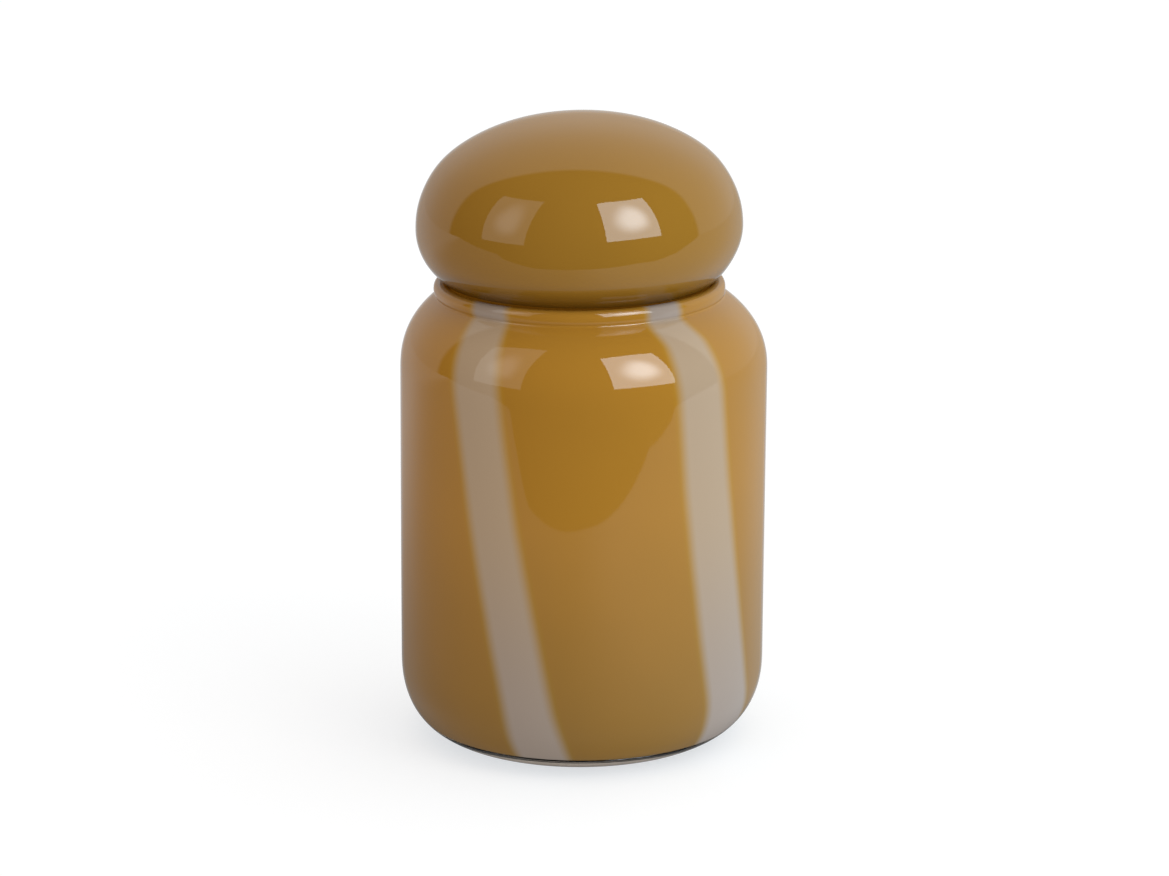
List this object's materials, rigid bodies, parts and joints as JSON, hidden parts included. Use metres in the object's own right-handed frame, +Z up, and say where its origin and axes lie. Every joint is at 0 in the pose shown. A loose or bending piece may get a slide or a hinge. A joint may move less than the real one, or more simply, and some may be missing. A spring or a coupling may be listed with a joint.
{
  "type": "apothecary jar",
  "caption": "Straight-sided blown glass jar with round shoulders, a rolled collar, twisted pale stripes and a flattened ball lid that lifts off.",
  "frame": {"origin": "centre of the foot, on the surface that the jar stands on", "axes": "+Z up along the jar's axis of revolution, towards the lid; -Y faces the viewer"},
  "size_m": [0.12, 0.12, 0.2081],
  "materials": {
    "jar_glass": "high gloss, opaque mustard cased glass with soft-edged lavender-grey stripes twisted round it",
    "lid_glass": "high gloss, opaque plain mustard cased glass",
    "opal_glass": "gloss, opaque white opal glass",
    "clear_glass": "high gloss, clear colourless glass"
  },
  "bodies": {
    "jar": {"jar_body": "jar_glass", "jar_lining": "opal_glass", "clear_foot": "clear_glass"},
    "lid": {"lid_shell": "lid_glass", "lid_lining": "opal_glass"}
  },
  "joints": [
    {"name": "lid_lift", "type": "slide", "parent": "jar", "child": "lid", "axis": [0, 0, 1], "range_m": [0, 0.1]}
  ]
}
